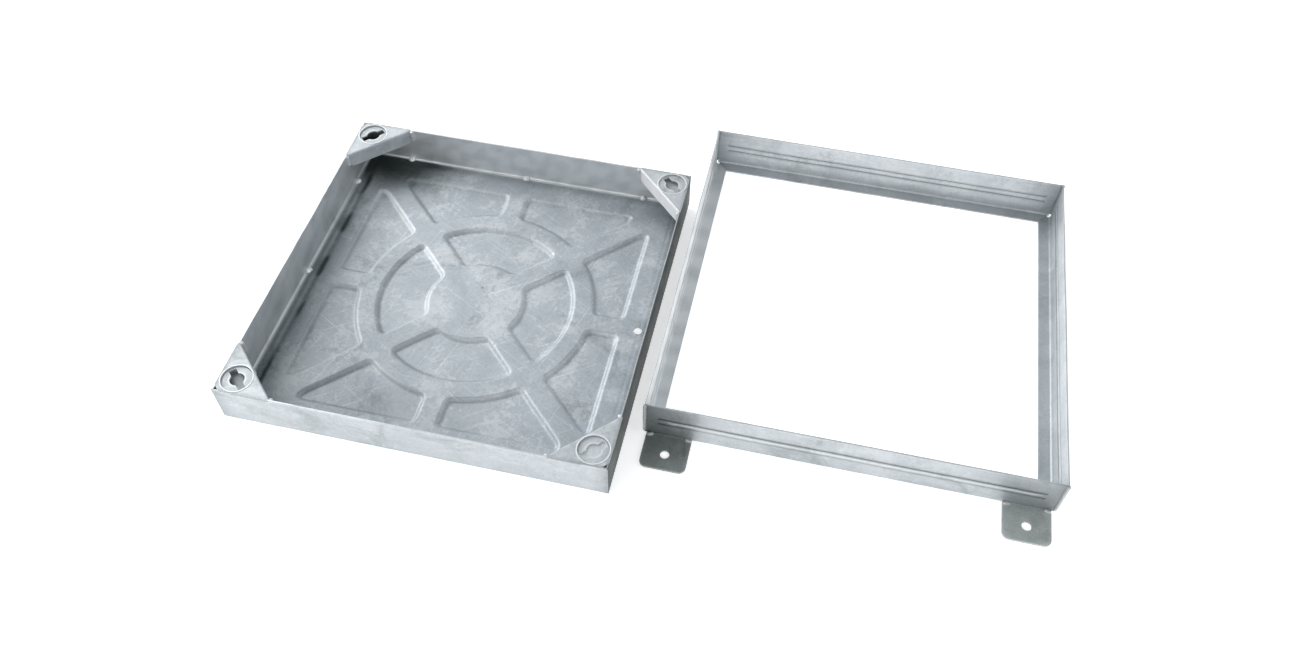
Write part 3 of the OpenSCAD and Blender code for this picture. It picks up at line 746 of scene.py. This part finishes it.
gussetLook = {"inside": 220.0, "top": 56.0, "socketAt": 201.5, "depth": 46.263, "bend": 1.9, "flange": 20.0,
              "chamfer": 6.0, "notch": 3.2, "hole": 18.1, "wallGap": 0.12, "overWall": 1.85,
              "proud": 0.12, "bevel": 0.25, "wornFrom": 375.2}  # wornFrom: x + y where the bend's wear starts
# Zinc settled in each cup: its depth in mm, and shade: how much painted shade darkens the cup's inside below
# its rim.
drossLook = {"back_right": {"level": 13.5, "shade": 0.3}, "back_left": {"level": 1.5, "shade": 0.9},
             "front_left": {"level": 12.0, "shade": 0.42}, "front_right": {"level": 16.45, "shade": 0.0}}
cupLook = {"outer": 18.0, "inner": 17.2, "depth": 20.0, "lipReach": 0.75, "lip": 0.6, "steps": 96}
keyLook = {"radius": 16.95, "below": 1.5, "thick": 2.0, "round": 8.25, "slotLength": 30.0, "slotWidth": 8.5,
           "bevel": 0.3}


def cornerFrame(depth, along, height):
    # From distance to the corner and place along the long edge to x, y and z, at the back right corner.
    root, inside = math.sqrt(2), gussetLook["inside"]
    return np.stack([inside + (-depth + along) / root, inside + (-depth - along) / root,
                     height + 0 * along], -1)


def gussetPlate():
    # Rings from the socket's hole to the outline, which is the nearest of long edge, two walls and notch.
    look = gussetLook
    middle = (look["inside"] - look["socketAt"]) * math.sqrt(2)
    longEdge = look["depth"] - look["bend"]
    tips = [math.atan2(longEdge - middle, s * (longEdge + look["overWall"] * math.sqrt(2))) for s in (-1, 1)]
    notches = [math.atan2(look["notch"] - middle, s * look["notch"]) for s in (-1, 1)]
    angles = np.unique(np.concatenate([np.linspace(-np.pi, np.pi, 180, endpoint=False), tips, notches]))
    along, down = np.cos(angles), np.sin(angles)
    root = math.sqrt(2)
    wallReach = middle / root + look["overWall"]
    with np.errstate(divide="ignore"):
        reaches = [np.where(down > 1e-9, (longEdge - middle) / down, np.inf),
                   np.where(down < -1e-9, (look["notch"] - middle) / down, np.inf)]
        toWall = [(s * along - down) / root for s in (-1, 1)]
        reaches += [np.where(way > 1e-9, wallReach / way, np.inf) for way in toWall]
    outline = np.maximum(np.min(reaches, axis=0), look["hole"] + 0.02)
    share = np.linspace(0, 1, 4)
    radius = look["hole"] * (1 - share)[None, :] + outline[:, None] * share[None, :]
    depth, side = middle + radius * down[:, None], radius * along[:, None]
    upper = cornerFrame(depth, side, look["top"] + look["proud"] + 0 * depth)
    lower = cornerFrame(depth, side, look["top"] - sheet + 0 * depth)
    return closedShell(upper, lower, True)


def gussetFlange():
    # Rows go over the bend's quarter circle and down the flange. A row's half length is its distance from
    # the corner, less the chamfer below. The inner face is the same rows, one sheet further in.
    look = gussetLook
    arc = np.linspace(0, np.pi / 2, 7)
    fall = np.concatenate([np.linspace(-look["bend"] - 1.0, -look["flange"] + look["chamfer"], 6),
                           np.linspace(-look["flange"] + look["chamfer"], -look["flange"], 4)[1:]])
    grids = []
    for inward in (0.0, sheet):
        r = max(look["bend"] - inward, 0.05)
        centre = look["depth"] - look["bend"]
        depth = np.concatenate([centre + r * np.sin(arc), 0 * fall + look["depth"] - inward])
        height = np.concatenate([-look["bend"] + r * np.cos(arc), fall])
        if inward:
            depth = np.concatenate([np.full(7, look["depth"] - inward), 0 * fall + look["depth"] - inward])
            height = np.concatenate([np.linspace(-0.02, -look["bend"] - 0.3, 7), fall])
        chamfer = np.clip(-look["flange"] + look["chamfer"] - height, 0, None)
        half = depth - look["wallGap"] * math.sqrt(2) - chamfer
        share = np.linspace(-1, 1, 33)[:, None]
        side = share * half[None, :]
        bow = wobble(91, side, height[None, :] * 2, 40, 0.12) * smoothStep(-height[None, :] / 6)
        grids.append(cornerFrame(depth[None, :] - np.abs(bow), side, look["top"] + height[None, :]))
    return closedShell(grids[0], grids[1], False)


def makeGusset(corner, turn):
    # Plate and flange joined in one mesh, worn along the bend and grimy at the tips.
    plate, flange = gussetPlate(), gussetFlange()
    points, faces = joinShells([plate, flange])
    tipDistance = np.minimum(gussetLook["inside"] - points[:, 0], gussetLook["inside"] - points[:, 1])
    nearBend = smoothStep((gussetLook["wornFrom"] - points[:, 0] - points[:, 1]) / 1.5)
    wearAndHighlight = np.where(points[:, 2] > gussetLook["top"] - 1.4, nearBend, 0)
    grimeAndShade = np.clip(1 - tipDistance / 2.5, 0, 1) * 0.3
    points = turned(points, turn)
    points[:, :2] += trayPlace
    piece = makePiece("cornerGusset." + corner, (points, faces),
                      {"material": zinc["galvanisedCutPlate"], "body": "tray", "slot": "galvanised_plate",
                       "bevel": gussetLook["bevel"], "wearAndHighlight": wearAndHighlight, "grimeAndShade": grimeAndShade,
                       "replaces": ["corner_gusset_" + corner]})
    # The back right gusset's flange gets the nearly white zinc, a painted highlight.
    if corner == "back_right":
        piece.data.materials.append(zinc["flangeHighlightZinc"])
        slots = np.zeros(len(piece.data.polygons), np.int32)
        slots[len(plate[1]):] = 1
        piece.data.polygons.foreach_set("material_index", slots)


def fanOver(line, pole):
    # Quads over an even ring of point numbers: two neighbours, the next one along and the pole.
    pairs = line.reshape(-1, 2)
    follow = np.roll(line, -2).reshape(-1, 2)[:, 0]
    return np.stack([pairs[:, 0], pairs[:, 1], follow, 0 * follow + pole], -1)


def makeCup(corner, turn):
    # Profile of radius and height turned about the socket's axis: outside, rolled lip, inside and floor.
    look, level, shade = cupLook, drossLook[corner]["level"], drossLook[corner]["shade"]
    outer, inside, deep = look["outer"], look["inner"], look["depth"]
    top, half = deep + look["lip"], look["lip"] / 2
    roll, curl = np.linspace(-np.pi / 2, np.pi / 2, 7), np.linspace(0, np.pi / 2, 5)
    lipEdge = outer + look["lipReach"] - half
    profile = np.concatenate([
        [[0.4, 0.0], [outer - 2.0, 0.0], [outer - 0.6, 0.5], [outer, 2.0], [outer, deep]],
        np.stack([lipEdge + half * np.cos(roll), deep + half + half * np.sin(roll)], -1),
        np.stack([inside + 0.5 - 0.5 * np.sin(curl), top - 0.5 + 0.5 * np.cos(curl)], -1),
        [[inside, level + 1.5], [inside - 0.5, level + 0.3], [inside - 1.5, level], [0.4, level]]])
    angle = np.linspace(0, 2 * np.pi, look["steps"], endpoint=False)[:, None]
    radius, height = profile[:, 0][None, :], profile[:, 1][None, :]
    at, bottom = gussetLook["socketAt"], gussetLook["top"] - deep
    x = at + radius * np.cos(angle)
    y = at + radius * np.sin(angle)
    grid = np.stack([x, y, bottom + height + 0 * x], -1)
    rows, cols = grid.shape[:2]
    number = np.arange(rows * cols).reshape(rows, cols)
    ring = np.vstack([number, number[:1]])
    faces = np.stack([ring[:-1, :-1], ring[1:, :-1], ring[1:, 1:], ring[:-1, 1:]], -1).reshape(-1, 4)
    faces = np.vstack([faces, fanOver(number[:, 0], rows * cols), fanOver(number[:, -1], rows * cols + 1)])
    points = np.vstack([grid.reshape(-1, 3), [[at, at, bottom], [at, at, bottom + level]]])
    points = turned(points, turn)
    points[:, :2] += trayPlace
    makePiece("keySocket." + corner, (points, faces),
              {"material": zinc["galvanisedCutPlate"], "body": "tray", "slot": "galvanised_plate",
               # Painted highlight on the rolled lip; painted shade on the cup's inside below its rim.
               "crispAngle": 80, "wearAndHighlight": (points[:, 2] > gussetLook["top"] + 0.35) * 0.9,
               "grimeAndShade": (points[:, 2] < gussetLook["top"] - 3) * shade, "replaces": ["key_socket_" + corner]})


def makeKeyPlate(corner, turn):
    # Rings from the keyhole to the disc's edge; the keyhole is the further of its round middle and its slot.
    look = keyLook
    angles = np.linspace(0, 2 * np.pi, 160, endpoint=False)
    slot = rayToBox(np.cos(angles), np.sin(angles), -look["slotLength"] / 2, look["slotLength"] / 2,
                    -look["slotWidth"] / 2, look["slotWidth"] / 2)
    hole = np.maximum(slot, look["round"])
    share = np.linspace(0, 1, 4)
    radius = hole[:, None] * (1 - share)[None, :] + look["radius"] * share[None, :]
    middle = (gussetLook["inside"] - gussetLook["socketAt"]) * math.sqrt(2)
    depth, side = middle + radius * np.sin(angles)[:, None], radius * np.cos(angles)[:, None]
    level = gussetLook["top"] - look["below"]
    upper = cornerFrame(depth, side, level + 0 * depth)
    lower = cornerFrame(depth, side, level - look["thick"] + 0 * depth)
    points, faces = closedShell(upper, lower, True)
    wearAndHighlight = np.tile((np.arange(4) == 0) * 0.9, 2 * len(angles))
    points = turned(points, turn)
    points[:, :2] += trayPlace
    makePiece("keyPlate." + corner, (points, faces),
              {"material": zinc["galvanisedCutPlate"], "body": "tray", "slot": "galvanised_plate",
               "bevel": look["bevel"], "wearAndHighlight": wearAndHighlight, "grimeAndShade": 0 * wearAndHighlight + 0.1,
               "replaces": ["key_plate_" + corner]})


for corner, turn in cornerTurns.items():
    makeGusset(corner, turn)
    makeCup(corner, turn)
    makeKeyPlate(corner, turn)

print("stage: welds")

# Places from the middle of the frame or the tray, sizes in mm; shade is how much grime the bead carries.
weldLook = {
    "frameSeam": {"radius": 2.2, "at": 224.4, "low": 6.0, "high": 55.7, "shade": 0.4},
    "traySeam": {"radius": 1.6, "at": 220.4, "low": 8.0, "high": 55.2, "shade": 0.1},
    "lugSpot": {"radius": 3.9, "tall": 3.0, "level": 2.8, "stretch": (1.15, 0.75), "at": 196.0,
                "aside": 21.5, "out": 226.4, "shade": 0.35},
    "tack": {"radius": 4.6, "tall": 4.9, "level": 4.8, "stretch": (1.0, 1.0),
             "spots": ((-161.0, -217.0), (0.0, -217.0), (161.0, -217.0)), "shade": 0.0},
    "gussetBead": {"radius": 2.4, "low": 41.0, "high": 55.5, "spots": ((218.6, 154.2), (154.2, 218.6)),
                   "shade": 0.1}}


def weldSeam(x, y, look, seed):
    # Upright tube: its radius ripples like a run of small pools, and it closes at both ends.
    rng = np.random.default_rng(seed)
    low, high, radius = look["low"], look["high"], look["radius"]
    steps, around = max(24, int((high - low) * 1.6)), 20
    t = np.linspace(0, 1, steps)[:, None]
    angle = np.linspace(0, 2 * np.pi, around, endpoint=False)[None, :]
    height = low + (high - low) * t
    pools = 0.10 * np.abs(np.sin(height * np.pi / 3.1 + rng.uniform(0, 3)))
    pools = pools + 0.05 * np.sin(height * 0.9 + rng.uniform(0, 6))
    lumps = wobble(seed, height * 1.0, angle * radius, 7.0, 0.08)
    close = np.sqrt(np.clip(1 - np.clip((np.abs(t - 0.5) * 2 - 0.96) / 0.04, 0, 1) ** 2, 0.0004, None))
    r = radius * (0.86 + pools * 0.9 + lumps) * close
    r = np.minimum(r, radius)
    grid = np.stack([x + r * np.cos(angle), y + r * np.sin(angle), height + 0 * angle], -1)
    return tubeShell(grid)


def tubeShell(grid):
    # A grid that runs round in its second direction, with a fan of quads over each end.
    rows, cols = grid.shape[:2]
    number = np.arange(rows * cols).reshape(rows, cols)
    ring = np.hstack([number, number[:, :1]])
    faces = np.stack([ring[:-1, :-1], ring[:-1, 1:], ring[1:, 1:], ring[1:, :-1]], -1).reshape(-1, 4)
    points = np.vstack([grid.reshape(-1, 3), grid[0].mean(0)[None], grid[-1].mean(0)[None]])
    return points, np.vstack([faces, fanOver(number[0], rows * cols), fanOver(number[-1], rows * cols + 1)])


def weldBlob(x, y, look, seed):
    # Dome: latitude rings from the base to the pole, with seeded lumps on the radius; the base is closed.
    around, rings = 28, 10
    angle = np.linspace(0, 2 * np.pi, around, endpoint=False)[None, :]
    lift = np.linspace(0.0, np.pi / 2 - 0.06, rings)[:, None]
    lumps = 1 + wobble(seed, 3 * np.cos(angle), 3 * np.sin(angle) + lift * 2, 5.0, 0.16)
    r = look["radius"] * np.cos(lift) * np.clip(lumps, 0.7, 1.1)
    wide, deep = look["stretch"]
    grid = np.stack([x + r * wide * np.cos(angle), y + r * deep * np.sin(angle),
                     look["level"] + look["tall"] * np.sin(lift) * np.clip(lumps, 0.8, 1.05)], -1)
    return tubeShell(grid)


def aroundTray(spots):
    # The spots of one side, turned to all four sides of the tray.
    flat = np.array([(x, y, 0.0) for x, y in spots])
    return np.vstack([turned(flat, turn) for turn in range(4)])[:, :2] + trayPlace


def makeWelds(name, shells, body, node, shade):
    # All beads of one kind joined in one mesh, with even wear and grime.
    points, faces = joinShells(shells)
    makePiece(name, (points, faces), {"material": zinc["zincCoatedWeld"], "body": body, "slot": "weld_metal",
                                      "crispAngle": 75, "wearAndHighlight": np.full(len(points), 0.25),
                                      "grimeAndShade": np.full(len(points), shade), "replaces": [node]})


frameSeam, traySeam, lugSpot = weldLook["frameSeam"], weldLook["traySeam"], weldLook["lugSpot"]
tack, gussetBead = weldLook["tack"], weldLook["gussetBead"]
corners = [(sx, sy) for sx in (-1, 1) for sy in (-1, 1)]
frameSeams = [weldSeam(sx * frameSeam["at"], sy * frameSeam["at"], frameSeam, 200 + 2 * sx + sy)
              for sx, sy in corners]
traySeams = [weldSeam(trayPlace[0] + sx * traySeam["at"], trayPlace[1] + sy * traySeam["at"], traySeam,
                      210 + 2 * sx + sy) for sx, sy in corners]
lugPlaces = [(sx * lugSpot["at"] + side * lugSpot["aside"], sy * lugSpot["out"])
             for sx, sy in corners for side in (-1, 1)]
lugBlobs = [weldBlob(x, y, lugSpot, 220 + i) for i, (x, y) in enumerate(lugPlaces)]
tacks = [weldBlob(x, y, tack, 240 + i) for i, (x, y) in enumerate(aroundTray(tack["spots"]))]
beads = [weldSeam(x, y, gussetBead, 260 + i) for i, (x, y) in enumerate(aroundTray(gussetBead["spots"]))]
makeWelds("frameCornerWelds", frameSeams, "frame", "frame_corner_welds", frameSeam["shade"])
makeWelds("trayCornerWelds", traySeams, "tray", "tray_corner_welds", traySeam["shade"])
makeWelds("lugWelds", lugBlobs, "frame", "lug_welds", lugSpot["shade"])
makeWelds("floorTackWelds", tacks, "tray", "floor_tack_welds", tack["shade"])
makeWelds("gussetWelds", beads, "tray", "gusset_welds", gussetBead["shade"])

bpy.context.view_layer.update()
